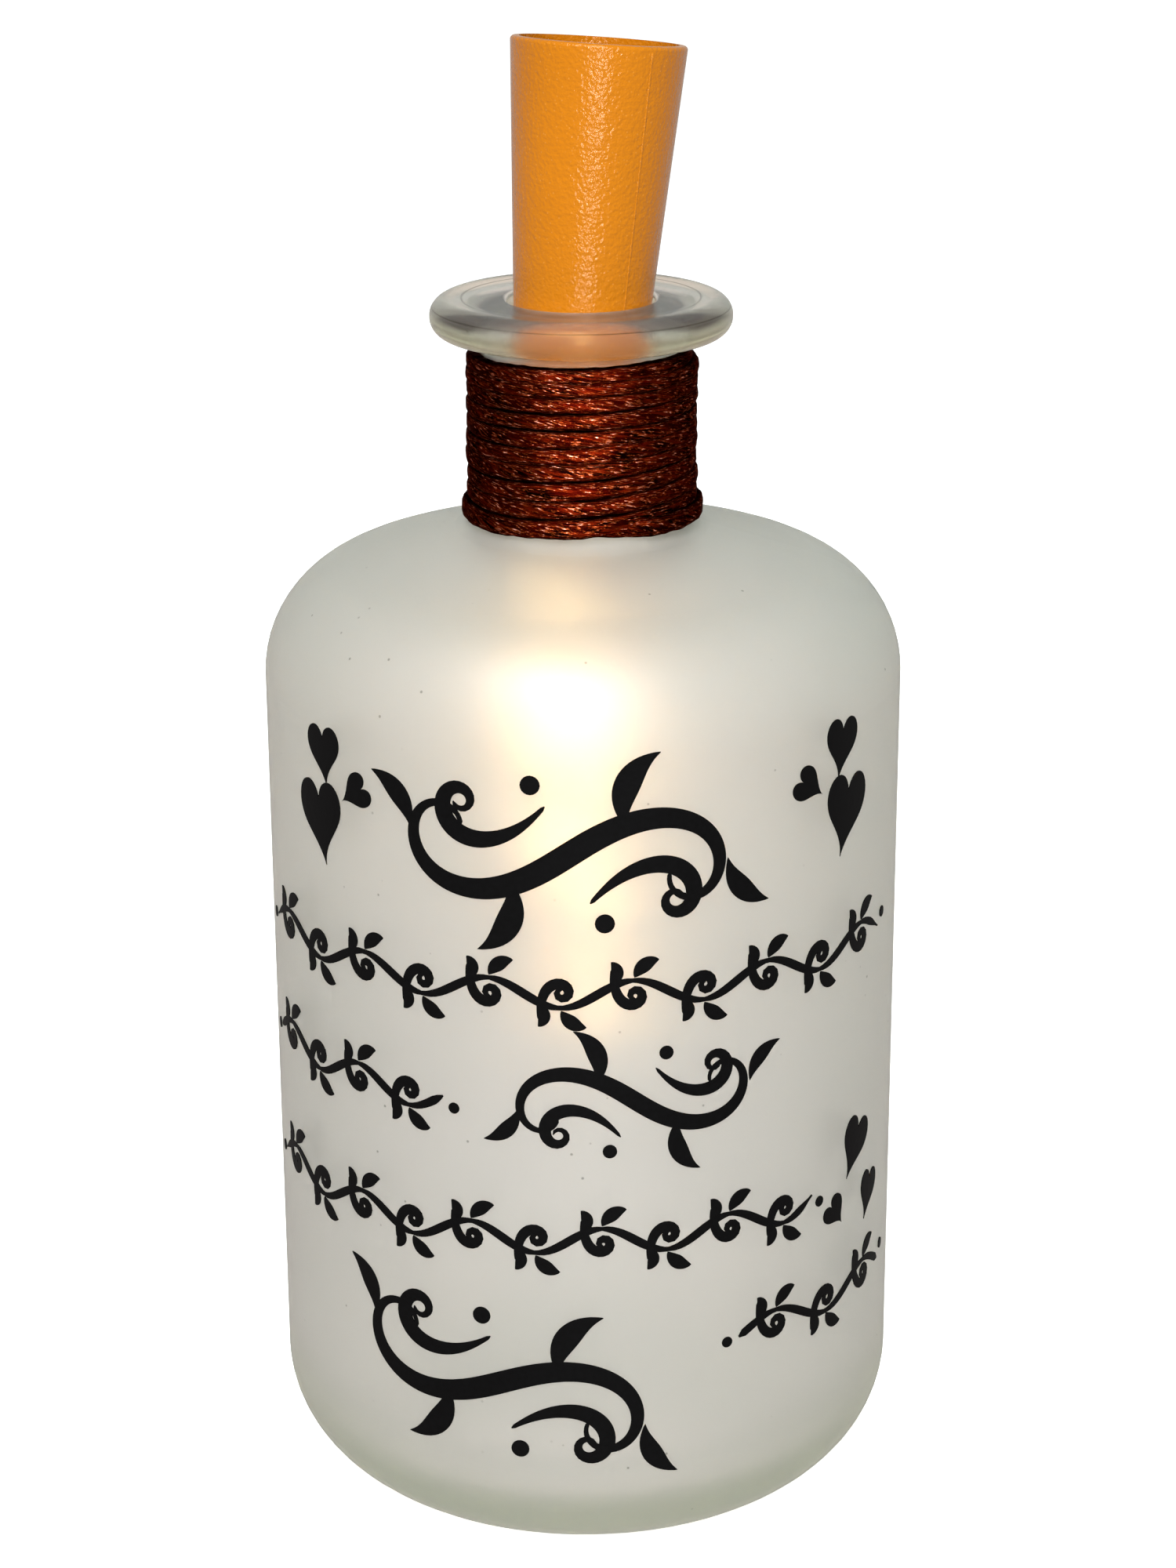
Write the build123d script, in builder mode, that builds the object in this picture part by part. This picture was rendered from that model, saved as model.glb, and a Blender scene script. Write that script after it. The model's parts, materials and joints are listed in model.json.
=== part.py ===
from build123d import *
import os
from math import cos, pi, radians, sin, sqrt, tan

# Cork bottle light: a frosted glass apothecary bottle with twine wound round its neck, and a
# cork-shaped battery light in its mouth, whose string of small lamps hangs inside the glass.
# Millimetres, +Z up. The origin is on the table under the middle of the bottle, and the front
# faces -Y.

# Bottle, one piece of glass turned about Z
body_radius = 41.0
body_wall = 3.4
base_thickness = 6.5
heel_radius = 15.4
foot_inset = 19.5
punt_rise = 3.6
punt_flank = 10.5
shoulder_height = 122.3
shoulder_radius = 15.3
shoulder_slope = 16.7
bore_radius = 9.25
neck_wall = 3.5
neck_length = 28.52
neck_fillet = 5.0
inner_neck_fillet = 6.0
lip_thickness = 5.0
lip_overhang = 6.3
lip_round_share = 0.46
collar_width = 2.05
collar_drop = 1.6
collar_fillet = 1.0
dish_width = 4.95
dish_depth = 0.5
dish_round = 3.0
mouth_round = 0.7

# Twine, one tube wound round the neck and laid on the foot of the neck in its last turn
twine_diameter = 1.5
twine_gap = 0.43
twine_seat_gap = 0.06
twine_rise = 2.12
twine_top_gap = 0.2
twine_end_angle = -101.0
twine_sides = 6
twine_span_count = 4

# Cork, a tapered sleeve that leans in the mouth
cork_length = 52.0
cork_taper = 4.1
cork_lean = 6.0
cork_lean_angle = 48.4
cork_mouth_gap = 0.2
cork_wall = 1.6
cork_floor = 2.0
cork_edge_round = 0.5
pocket_radius = 4.0

# Cap and tray that pull out of the top of the cork
cap_rim = 1.25
cap_thickness = 1.8
cap_sink = 1.3
cap_gap = 0.15
cap_edge_round = 0.3
pry_notch_width = 4.0
pry_notch_depth = 0.9
tray_wall = 0.8
tray_gap = 0.356
tray_foot_thickness = 1.0
tray_foot_bore = 4.2
tray_opening_share = 0.35
platform_thickness = 1.0

# Button cells, stacked with the smaller pole of each below
cell_names = ["battery_lower", "battery_middle", "battery_upper"]
cell_radius = 5.8
cell_height = 5.4
cell_cap_radius = 4.6
cell_cap_height = 0.5
cell_gap = 0.04
cell_side_gap = 0.15
cell_edge = 0.3

# Slide switch under the cap
switch_length = 8.6
switch_width = 3.7
switch_height = 3.4
switch_wall = 0.4
switch_gap = 0.1
terminal_count = 3
terminal_pitch = 2.2
terminal_width = 0.6
terminal_thickness = 0.3
terminal_length = 3.2
knob_length = 2.0
knob_width = 1.5
knob_proud = 0.6
knob_travel = 2.0
knob_gap = 0.12
knob_base_length = 3.6
knob_base_height = 1.2
knob_grooves = 2
knob_groove_share = 0.35

# Contacts, board and inner leads
strip_thickness = 0.3
strip_width = 1.8
strip_gap = 0.1
strip_foot = 1.2
wiper_gap = 0.3
wiper_drop = 1.6
plate_radius = 4.0
tab_height = 1.0
lead_room = 2.66
board_gap = 0.22
board_thickness = 0.8
resistor_length = 3.2
resistor_width = 1.6
resistor_height = 0.7
resistor_inset = 2.1
spring_wire = 0.5
spring_base_radius = 3.0
spring_top_radius = 2.2
spring_turns = 3
spring_room = 3.2
lead_diameter = 0.7
lead_offset = 1.4
lead_slack = 0.7
lead_bend = 1.0
lead_bend_shares = (0.24, 0.52, 0.76)
bow_bend = 0.7
bow_end_share = 0.34

# String of lamps: a thin twin wire that leaves the cork and hangs in loose curls
wire_diameter = 0.7
wire_sides = 6
wire_span_count = 2
wire_exit_run = 4.0
curl_radius = 6.9
curl_turns = 10
curl_drop = 13.0
curl_height = 62.0
curl_start_angle = 230.0
curl_narrow_share = 0.34
curl_beat_share = 0.37
curl_lift = 0.9
curl_lift_beat_share = 0.61
lamp_count = 10
lamp_sides = 8
lamp_length = 3.4
lamp_radius = 1.1
lamp_chamfer = 0.45
first_lamp_share = 0.06
wire_end_length = 4.0
wire_end_radius = 0.8
wire_end_chamfer = 0.27

# Strain relief where the wire leaves the cork
grommet_radius = 1.4
grommet_gap = 0.1
grommet_flange_radius = 2.2
grommet_flange = 0.6
grommet_tip_radius = 0.75
grommet_tip_length = 3.0
grommet_bore_gap = 0.05

os.makedirs("parts", exist_ok=True)


def biarc(start, start_way, end, end_way):
    """Two arcs, tangent to each other and to the given ways, from start to end."""
    span = end - start
    both = span.dot(start_way + end_way)
    turning = 2 * (1 - start_way.dot(end_way))
    reach = (sqrt(both**2 + turning * span.dot(span)) - both) / turning
    knee_in = start + start_way * reach
    knee_out = end - end_way * reach
    middle = (knee_in + knee_out) * 0.5
    TangentArc(start, middle, tangent=start_way)
    TangentArc(middle, end, tangent=(knee_out - knee_in).normalized())


def way_at(route, turn):
    """Unit direction of a route that is a function of the turns made so far."""
    step = 0.001
    return (route(turn + step) - route(turn - step)).normalized()


def wind(route, turns, diameter, spans_per_turn, lead_in=None):
    """Path of a winding: biarcs of a part of a turn between two straight ends. A lead-in is the
    start, way and length of a straight run from which the winding is reached."""
    count = turns * spans_per_turn
    stops = [index / spans_per_turn for index in range(count + 1)]
    points = [route(stop) for stop in stops]
    ways = [way_at(route, stop) for stop in stops]
    if lead_in is None:
        Line(points[0] - ways[0] * diameter, points[0])
    else:
        start, way, run = lead_in
        Line(start, start + way * run)
        biarc(start + way * run, way, points[0], ways[0])
    for index in range(count):
        biarc(points[index], ways[index], points[index + 1], ways[index + 1])
    Line(points[-1], points[-1] + ways[-1] * diameter)


def least_gap(path, diameter, samples=900):
    """Least gap of a tube to itself, on points that lie over eight diameters apart along it."""
    points = [tuple(path.position_at(index / samples)) for index in range(samples + 1)]
    apart = int(8 * diameter / path.length * samples) + 1
    least = path.length
    for index, (x, y, z) in enumerate(points):
        for other in range(index + apart, samples + 1):
            px, py, pz = points[other]
            square = (x - px) ** 2 + (y - py) ** 2 + (z - pz) ** 2
            if square < least**2:
                least = sqrt(square)
    return least - diameter


def least_radius(path):
    """Tightest arc of a path."""
    return min(edge.radius for edge in path.edges().filter_by(GeomType.CIRCLE))


# Glass bottle: one outline that runs from the punt up the outside, over the lip and down
# the inside, turned about Z
def shoulder_at(radius):
    """Height of the outer shoulder's slope at a radius."""
    return shoulder_height + (body_radius - radius) * tan(radians(shoulder_slope))


def inner_shoulder_at(radius):
    """Height of the inner shoulder's slope at a radius."""
    return shoulder_at(radius) - body_wall / cos(radians(shoulder_slope))


foot_inner_radius = body_radius - foot_inset
punt_radius = foot_inner_radius - punt_flank
neck_radius = bore_radius + neck_wall
neck_foot = shoulder_at(neck_radius)
lip_height = neck_foot + neck_length
lip_underside = lip_height - lip_thickness
lip_radius = neck_radius + lip_overhang
lip_round = lip_thickness * lip_round_share
collar_radius = neck_radius + collar_width
dish_radius = bore_radius + dish_width
dish_height = lip_height - dish_depth
inner_radius = body_radius - body_wall
inner_heel_radius = heel_radius - body_wall

with BuildPart() as bottle:
    with BuildSketch(Plane.XZ):
        with BuildLine():
            corners = [
                ((0, punt_rise), 0),
                ((punt_radius, punt_rise), heel_radius),
                ((foot_inner_radius, 0), 0),
                ((body_radius, 0), heel_radius),
                ((body_radius, shoulder_height), shoulder_radius),
                ((neck_radius, neck_foot), neck_fillet),
                ((neck_radius, lip_underside - collar_drop), collar_fillet),
                ((collar_radius, lip_underside), 0),
                ((lip_radius, lip_underside), lip_round),
                ((lip_radius, lip_height), lip_round),
                ((dish_radius, dish_height), dish_round),
                ((bore_radius, dish_height), mouth_round),
                ((bore_radius, inner_shoulder_at(bore_radius)), inner_neck_fillet),
                ((inner_radius, inner_shoulder_at(inner_radius)), shoulder_radius - body_wall),
                ((inner_radius, base_thickness), inner_heel_radius),
                ((punt_radius, base_thickness + punt_rise), heel_radius),
                ((0, base_thickness + punt_rise), 0),
            ]
            points, rounds = zip(*corners)
            FilletPolyline(*points, radius=rounds, close=True)
        make_face()
    revolve(axis=Axis.Z)
bottle.part.label = "bottle"
export_step(bottle.part, "parts/bottle.step")

# Twine: it rests on the neck, and its lowest turn rides up the fillet at the neck's foot
neck_start = neck_foot + neck_fillet * tan(radians(90 - shoulder_slope) / 2)
fillet_centre = neck_radius + neck_fillet
twine_lowest = neck_foot + twine_rise
twine_room = lip_underside - collar_drop - twine_top_gap - twine_lowest
twine_pitch = twine_diameter + twine_gap
twine_turns = int(twine_room / twine_pitch)


def twine_route(turn):
    """Middle of the twine after a number of turns, from its lower end upwards."""
    height = twine_lowest + twine_pitch * turn
    reach = neck_radius + twine_seat_gap + twine_diameter / 2
    if height < neck_start:
        clear = neck_fillet - twine_seat_gap - twine_diameter / 2
        reach = fillet_centre - sqrt(clear**2 - (neck_start - height) ** 2)
    angle = radians(twine_end_angle) + 2 * pi * turn
    return Vector(reach * cos(angle), reach * sin(angle), height)


with BuildPart() as neck_twine:
    with BuildLine() as twine_path:
        wind(twine_route, twine_turns, twine_diameter, twine_span_count)
    twine_line = twine_path.wire()
    with BuildSketch(Plane(origin=twine_line @ 0, z_dir=twine_line % 0)):
        RegularPolygon(twine_diameter / 2, twine_sides)
    sweep(path=twine_line, clean=False)
neck_twine.part.label = "neck_twine"
export_step(neck_twine.part, "parts/neck_twine.step")
print("twine turns", twine_turns, "least gap", round(least_gap(twine_line, twine_diameter), 2))

# Heights inside the cork, above its foot: the switch and the cells hang from the cap, and the
# board lies under them
cap_top = cork_length - cap_sink
cap_bottom = cap_top - cap_thickness
switch_top = cap_bottom - switch_gap
switch_bottom = switch_top - switch_height
switch_platform = switch_bottom - platform_thickness
terminal_bottom = switch_bottom - terminal_length
tab_top = terminal_bottom - lead_room
contact_platform = tab_top - tab_height - platform_thickness
plate_bottom = contact_platform - strip_thickness
cells_top = plate_bottom - cell_gap
cells_bottom = cells_top - len(cell_names) * cell_height
tray_foot = cells_bottom - tray_foot_thickness
board_top = tray_foot - spring_room
board_shelf = board_top - board_thickness

# Girths inside the cork: the tray holds the cells, and the sleeve clears the tray's foot
tray_inner_radius = cell_radius + cell_side_gap
tray_outer_radius = tray_inner_radius + tray_wall
sleeve_radius = tray_outer_radius + tray_gap + cork_wall
cork_foot_radius = sleeve_radius - tray_foot * tan(radians(cork_taper))
cork_top_radius = cork_foot_radius + cork_length * tan(radians(cork_taper))
cap_radius = cork_top_radius - cap_rim

# Where the cork leans: its taper touches the mouth on one side, and its foot the bore on the
# other. Both are worked out from the point where the cork's sides would meet below it.
taper = radians(cork_taper)
lean = radians(cork_lean)
side_to_foot = cork_foot_radius / sin(taper)
mouth_height = dish_height - mouth_round
room = bore_radius - cork_mouth_gap
apex_reach = -room - side_to_foot * sin(lean - taper)
apex_height = mouth_height - (room - apex_reach) / tan(lean + taper)
foot_run = cork_foot_radius / tan(taper)
foot_reach = apex_reach + foot_run * sin(lean)
foot_height = apex_height + foot_run * cos(lean)
lean_x = cos(radians(cork_lean_angle))
lean_y = sin(radians(cork_lean_angle))
cork_axis_way = Vector(sin(lean) * lean_x, sin(lean) * lean_y, cos(lean))
cork_base = Plane(
    origin=(foot_reach * lean_x, foot_reach * lean_y, foot_height),
    x_dir=Vector(0, 1, 0).cross(cork_axis_way),
    z_dir=cork_axis_way,
)
cork_section = Plane(
    origin=cork_base.origin, x_dir=cork_base.y_dir, z_dir=cork_base.x_dir
)
cork_axis = Axis(cork_base.origin, cork_base.z_dir)


def cork_outer(height):
    """Outer radius of the cork at a height above its foot."""
    return cork_foot_radius + height * tan(taper)


def cork_inner(height):
    """Inner radius of the cork's wall at a height above its foot."""
    return cork_outer(height) - cork_wall


# Cork sleeve: tapered outside, stepped inside for the wire's pocket, the board and the cap
with BuildPart() as cork_shell:
    with BuildSketch(cork_section):
        with BuildLine():
            corners = [
                ((grommet_radius + grommet_gap, 0), 0),
                ((cork_foot_radius, 0), cork_edge_round),
                ((cork_top_radius, cork_length), cork_edge_round),
                ((cap_radius + cap_gap, cork_length), 0),
                ((cap_radius + cap_gap, cap_bottom), 0),
                ((cork_inner(cap_bottom), cap_bottom), 0),
                ((cork_inner(board_shelf), board_shelf), 0),
                ((pocket_radius, board_shelf), 0),
                ((pocket_radius, cork_floor), 0),
                ((grommet_radius + grommet_gap, cork_floor), 0),
            ]
            points, rounds = zip(*corners)
            FilletPolyline(*points, radius=rounds, close=True)
        make_face()
    revolve(axis=cork_axis)
cork_shell.part.label = "cork_shell"
export_step(cork_shell.part, "parts/cork_shell.step")

# Strain relief: a waisted grommet in the floor of the cork, with a tapered tip below
grommet_bore = wire_diameter / 2 + grommet_bore_gap
with BuildPart() as wire_grommet:
    with BuildSketch(cork_section):
        with BuildLine():
            Polyline(
                (grommet_bore, cork_floor + grommet_flange),
                (grommet_flange_radius, cork_floor + grommet_flange),
                (grommet_flange_radius, cork_floor),
                (grommet_radius, cork_floor),
                (grommet_radius, 0),
                (grommet_flange_radius, 0),
                (grommet_flange_radius, -grommet_flange),
                (grommet_radius, -grommet_flange),
                (grommet_tip_radius, -grommet_flange - grommet_tip_length),
                (grommet_bore, -grommet_flange - grommet_tip_length),
                close=True,
            )
        make_face()
    revolve(axis=cork_axis)
wire_grommet.part.label = "wire_grommet"
export_step(wire_grommet.part, "parts/wire_grommet.step")

# Round circuit board on the shelf, with two solder holes
board_radius = cork_inner(board_shelf) - board_gap
with BuildPart() as circuit_board:
    with BuildSketch(cork_base.offset(board_shelf)):
        Circle(board_radius)
        with Locations((lead_offset + lead_diameter, 0), (lead_offset - lead_diameter, 0)):
            Circle(lead_diameter / 4, mode=Mode.SUBTRACT)
    extrude(amount=board_thickness)
circuit_board.part.label = "circuit_board"
export_step(circuit_board.part, "parts/circuit_board.step")

# Series resistor, a small chip with capped ends
with BuildPart() as resistor:
    with BuildSketch(cork_base.offset(board_top)):
        with Locations((resistor_inset - board_radius, 0)):
            Rectangle(resistor_width, resistor_length)
    extrude(amount=resistor_height)
resistor.part.label = "resistor"
export_step(resistor.part, "parts/resistor.step")

# Contact spring: it stands on the board and narrows towards the lowest cell
spring_rise = cells_bottom - cell_gap - board_top - spring_wire


def spring_route(turn):
    """Middle of the spring's wire after a number of turns, from the board upwards."""
    share = turn / spring_turns
    reach = spring_base_radius + (spring_top_radius - spring_base_radius) * share
    angle = 2 * pi * turn
    height = board_top + spring_wire / 2 + spring_rise * share
    return cork_base.from_local_coords(
        Vector(reach * cos(angle), reach * sin(angle), height)
    )


with BuildPart() as contact_spring:
    with BuildLine() as spring_path:
        wind(spring_route, spring_turns, spring_wire, wire_span_count)
    spring_line = spring_path.wire()
    with BuildSketch(Plane(origin=spring_line @ 0, z_dir=spring_line % 0)):
        RegularPolygon(spring_wire / 2, wire_sides)
    sweep(path=spring_line, clean=False)
contact_spring.part.label = "contact_spring"
export_step(contact_spring.part, "parts/contact_spring.step")
print("spring least gap", round(least_gap(spring_line, spring_wire), 2))


# Side contact: a strip up the inner wall to the wiper, with a foot on the board
wiper_height = switch_platform - strip_thickness - strip_gap
strip_top = wiper_height - strip_thickness


def strip_face(height):
    """Distance of the strip's outer face from the cork's axis."""
    return cork_inner(height) - strip_gap


with BuildPart() as side_contact:
    with BuildSketch(cork_section):
        with BuildLine():
            Polyline(
                (strip_face(board_top), board_top),
                (strip_face(strip_top), strip_top),
                (strip_face(strip_top) - strip_thickness, strip_top),
                (
                    strip_face(board_top + strip_thickness) - strip_thickness,
                    board_top + strip_thickness,
                ),
                (strip_face(board_top) - strip_foot, board_top + strip_thickness),
                (strip_face(board_top) - strip_foot, board_top),
                close=True,
            )
        make_face()
    extrude(amount=strip_width / 2, both=True)
side_contact.part.label = "side_contact"
export_step(side_contact.part, "parts/side_contact.step")

# Inner lead: from the board down the pocket and through the strain relief
tip_height = -grommet_flange - grommet_tip_length
pocket_depth = board_shelf - cork_floor
first_share, second_share, third_share = lead_bend_shares
with BuildPart() as inner_lead:
    with BuildLine() as lead_path:
        places = [
            (lead_offset, 0, board_shelf),
            (lead_offset, 0, board_shelf - pocket_depth * first_share),
            (-lead_slack, lead_slack, board_shelf - pocket_depth * second_share),
            (0, 0, board_shelf - pocket_depth * third_share),
            (0, 0, tip_height),
        ]
        FilletPolyline(
            *[cork_base.from_local_coords(Vector(*place)) for place in places],
            radius=lead_bend,
        )
    lead_line = lead_path.wire()
    with BuildSketch(Plane(origin=lead_line @ 0, z_dir=lead_line % 0)):
        RegularPolygon(lead_diameter / 2, wire_sides)
    sweep(path=lead_line)
inner_lead.part.label = "inner_lead"
export_step(inner_lead.part, "parts/inner_lead.step")

# Battery tray: two curved side walls that hang from the cap, with a foot ring under the
# cells, a platform over them and one under the switch
back_slot_width = strip_width + 2 * strip_thickness
back_slot_face = tray_inner_radius - tray_wall / 2
opening_edge = -tray_outer_radius * tray_opening_share
platforms = [
    (tray_foot, tray_foot_thickness),
    (contact_platform, platform_thickness),
    (switch_platform, platform_thickness),
]
with BuildPart() as battery_tray:
    with BuildSketch(cork_base.offset(tray_foot)):
        Circle(tray_outer_radius)
        Circle(tray_inner_radius, mode=Mode.SUBTRACT)
        with Locations((0, opening_edge)):
            Rectangle(
                2 * tray_outer_radius,
                2 * tray_outer_radius,
                align=(Align.CENTER, Align.MAX),
                mode=Mode.SUBTRACT,
            )
    extrude(amount=cap_bottom - tray_foot)
    for height, thickness in platforms:
        with BuildSketch(cork_base.offset(height)):
            Circle(tray_outer_radius)
        extrude(amount=thickness)
    with BuildSketch(cork_base.offset(tray_foot)):
        Circle(tray_foot_bore)
    extrude(amount=tray_foot_thickness, mode=Mode.SUBTRACT)
    with BuildSketch(cork_base.offset(tray_foot)):
        with Locations((0, back_slot_face)):
            Rectangle(
                back_slot_width,
                tray_outer_radius,
                align=(Align.CENTER, Align.MIN),
            )
    extrude(amount=cap_bottom - tray_foot, mode=Mode.SUBTRACT)
    with BuildSketch(cork_base.offset(contact_platform)):
        with Locations((-terminal_pitch, 0)):
            Rectangle(terminal_width + 2 * strip_gap, terminal_width + 2 * strip_gap)
    extrude(amount=platform_thickness, mode=Mode.SUBTRACT)
    with BuildSketch(cork_base.offset(switch_platform)):
        with GridLocations(terminal_pitch, 0, terminal_count, 1):
            Rectangle(terminal_width + 2 * strip_gap, terminal_thickness + 2 * strip_gap)
    extrude(amount=platform_thickness, mode=Mode.SUBTRACT)
battery_tray.part.label = "battery_tray"
export_step(battery_tray.part, "parts/battery_tray.step")

# Three button cells, each with its smaller pole below
for index, cell_name in enumerate(cell_names):
    cell_bottom = cells_bottom + index * cell_height
    with BuildPart() as cell:
        with BuildSketch(cork_section):
            with BuildLine():
                Polyline(
                    (0, cell_bottom + cell_gap),
                    (cell_cap_radius, cell_bottom + cell_gap),
                    (cell_cap_radius, cell_bottom + cell_cap_height),
                    (cell_radius - cell_edge, cell_bottom + cell_cap_height),
                    (cell_radius, cell_bottom + cell_cap_height + cell_edge),
                    (cell_radius, cell_bottom + cell_height - cell_edge),
                    (cell_radius - cell_edge, cell_bottom + cell_height),
                    (0, cell_bottom + cell_height),
                    close=True,
                )
            make_face()
        revolve(axis=cork_axis)
    cell.part.label = cell_name
    export_step(cell.part, f"parts/{cell_name}.step")

# Upper contact: a plate on the top cell, with a tab up through the platform
with BuildPart() as positive_contact:
    with BuildSketch(cork_base.offset(plate_bottom)):
        Circle(plate_radius)
    extrude(amount=strip_thickness)
    with BuildSketch(cork_base.offset(contact_platform)):
        with Locations((-terminal_pitch, 0)):
            Rectangle(terminal_width, strip_thickness)
    extrude(amount=tab_top - contact_platform)
positive_contact.part.label = "positive_contact"
export_step(positive_contact.part, "parts/positive_contact.step")

# Slide switch: a case with a floor, open under the knob, and three terminals
cavity_length = knob_base_length + knob_travel + 2 * knob_gap
case_cavity_width = switch_width - 2 * switch_wall
slot_length = knob_length + knob_travel + 2 * knob_gap
slot_width = knob_width + 2 * knob_gap
cavity_height = knob_base_height + 2 * knob_gap
cavity_bottom = switch_top - switch_wall - cavity_height
with BuildPart() as switch_case:
    with BuildSketch(cork_base.offset(switch_bottom)):
        Rectangle(switch_length, switch_width)
    extrude(amount=switch_height)
    with BuildSketch(cork_base.offset(cavity_bottom)):
        Rectangle(cavity_length, case_cavity_width)
    extrude(amount=cavity_height, mode=Mode.SUBTRACT)
    with BuildSketch(cork_base.offset(cavity_bottom)):
        Rectangle(slot_length, slot_width)
    extrude(amount=switch_top - cavity_bottom, mode=Mode.SUBTRACT)
switch_case.part.label = "switch_case"
export_step(switch_case.part, "parts/switch_case.step")

with BuildPart() as switch_terminals:
    with BuildSketch(cork_base.offset(switch_bottom)):
        with GridLocations(terminal_pitch, 0, terminal_count, 1):
            Rectangle(terminal_width, terminal_thickness)
    extrude(amount=-terminal_length)
switch_terminals.part.label = "switch_terminals"
export_step(switch_terminals.part, "parts/switch_terminals.step")

# Switch slider: a base in the case and a ribbed knob through the cap, at rest at the "on" end
knob_shift = -knob_travel / 2
knob_top = cap_top + knob_proud
groove_pitch = knob_length / (knob_grooves + 1)
groove_depth = knob_proud * knob_groove_share
with BuildPart() as switch_slider:
    with BuildSketch(cork_base.offset(cavity_bottom + knob_gap)):
        with Locations((knob_shift, 0)):
            Rectangle(knob_base_length, case_cavity_width - 2 * knob_gap)
    extrude(amount=knob_base_height)
    with BuildSketch(cork_base.offset(cavity_bottom + knob_gap)):
        with Locations((knob_shift, 0)):
            Rectangle(knob_length, knob_width)
    extrude(amount=knob_top - cavity_bottom - knob_gap)
    with BuildSketch(cork_base.offset(knob_top - groove_depth)):
        with Locations((knob_shift, 0)):
            with GridLocations(groove_pitch, 0, knob_grooves, 1):
                Rectangle(groove_pitch / 2, knob_width)
    extrude(amount=groove_depth, mode=Mode.SUBTRACT)
switch_slider.part.label = "switch_slider"
export_step(switch_slider.part, "parts/switch_slider.step")

# Cap: a disc that fills the cork's recess, with the knob's slot and a notch to pull it by
with BuildPart() as switch_cap:
    with BuildSketch(cork_base.offset(cap_bottom)):
        Circle(cap_radius)
        Rectangle(slot_length, slot_width, mode=Mode.SUBTRACT)
    extrude(amount=cap_thickness)
    chamfer(
        switch_cap.edges().filter_by(GeomType.CIRCLE).sort_by(cork_axis)[-1], cap_edge_round
    )
    with BuildSketch(cork_base.offset(cap_top)):
        with Locations((0, -cap_radius)):
            Rectangle(pry_notch_width, 2 * pry_notch_depth)
    extrude(amount=-cap_thickness / 2, mode=Mode.SUBTRACT)
switch_cap.part.label = "switch_cap"
export_step(switch_cap.part, "parts/switch_cap.step")

# Wiper: a bent strip from the middle terminal out to the side contact
wiper_reach = strip_face(wiper_height - wiper_drop) - strip_thickness - wiper_gap
with BuildPart() as wiper_contact:
    with BuildSketch(cork_section):
        with BuildLine():
            Polyline(
                (terminal_thickness / 2, wiper_height),
                (wiper_reach, wiper_height),
                (wiper_reach, wiper_height - wiper_drop),
                (wiper_reach - strip_thickness, wiper_height - wiper_drop),
                (wiper_reach - strip_thickness, wiper_height - strip_thickness),
                (terminal_thickness / 2, wiper_height - strip_thickness),
                close=True,
            )
        make_face()
    extrude(amount=strip_width / 2, both=True)
wiper_contact.part.label = "wiper_contact"
export_step(wiper_contact.part, "parts/wiper_contact.step")

# Upper lead: from the plate's tab to the first terminal, with a slack bow
bow = terminal_pitch / 2
middle_height = (tab_top + terminal_bottom) / 2
with BuildPart() as upper_lead:
    with BuildLine() as upper_path:
        places = [
            (-terminal_pitch, 0, tab_top),
            (-terminal_pitch, -bow * bow_end_share, tab_top + lead_diameter),
            (-terminal_pitch, -bow, middle_height),
            (-terminal_pitch, -bow * bow_end_share, terminal_bottom - lead_diameter),
            (-terminal_pitch, 0, terminal_bottom),
        ]
        FilletPolyline(
            *[cork_base.from_local_coords(Vector(*place)) for place in places],
            radius=bow_bend,
        )
    upper_line = upper_path.wire()
    with BuildSketch(Plane(origin=upper_line @ 0, z_dir=upper_line % 0)):
        RegularPolygon(lead_diameter / 2, wire_sides)
    sweep(path=upper_line)
upper_lead.part.label = "upper_lead"
export_step(upper_lead.part, "parts/upper_lead.step")


# String of lamps: straight out of the strain relief, then loose curls of uneven width
wire_exit = cork_base.from_local_coords(Vector(0, 0, tip_height))
curl_top = wire_exit.Z - curl_drop


def curl_route(turn):
    """Middle of the wire after a number of curls, from the cork downwards."""
    beat = 2 * pi * turn
    swell = (1 - cos(beat * curl_beat_share)) / 2
    opening = 1 - curl_narrow_share * (1 - swell)
    angle = radians(curl_start_angle) + beat
    drop = curl_height * turn / curl_turns
    height = curl_top - drop + curl_lift * sin(beat * curl_lift_beat_share)
    reach = curl_radius * opening
    return Vector(reach * cos(angle), reach * sin(angle), height)


with BuildPart() as led_wire:
    with BuildLine() as wire_path:
        lead_in = (wire_exit, -cork_axis_way, wire_exit_run)
        wind(curl_route, curl_turns, wire_diameter, wire_span_count, lead_in)
    wire_line = wire_path.wire()
    with BuildSketch(Plane(origin=wire_line @ 0, z_dir=wire_line % 0)):
        RegularPolygon(wire_diameter / 2, wire_sides)
    sweep(path=wire_line, clean=False)
led_wire.part.label = "led_wire"
export_step(led_wire.part, "parts/led_wire.step")
print("wire length", round(wire_line.length, 1), "tightest radius", round(least_radius(wire_line), 2))
print("wire least gap", round(least_gap(wire_line, wire_diameter), 2))

# Lamps: a clear drop of resin round each chip, eight-sided with its ends drawn in, evenly
# spaced along the wire
lamp_shares = [
    first_lamp_share + (1 - first_lamp_share) * (index + 0.5) / lamp_count
    for index in range(lamp_count)
]
with BuildPart() as led_lamps:
    for share in lamp_shares:
        with BuildSketch(Plane(origin=wire_line @ share, z_dir=wire_line % share)):
            RegularPolygon(lamp_radius, lamp_sides)
        extrude(amount=lamp_length / 2, both=True)
    lamp_ends = led_lamps.faces().filter_by(lambda face: len(face.edges()) == lamp_sides)
    chamfer(lamp_ends.edges(), lamp_chamfer)
led_lamps.part.label = "led_lamps"
export_step(led_lamps.part, "parts/led_lamps.step")

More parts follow.
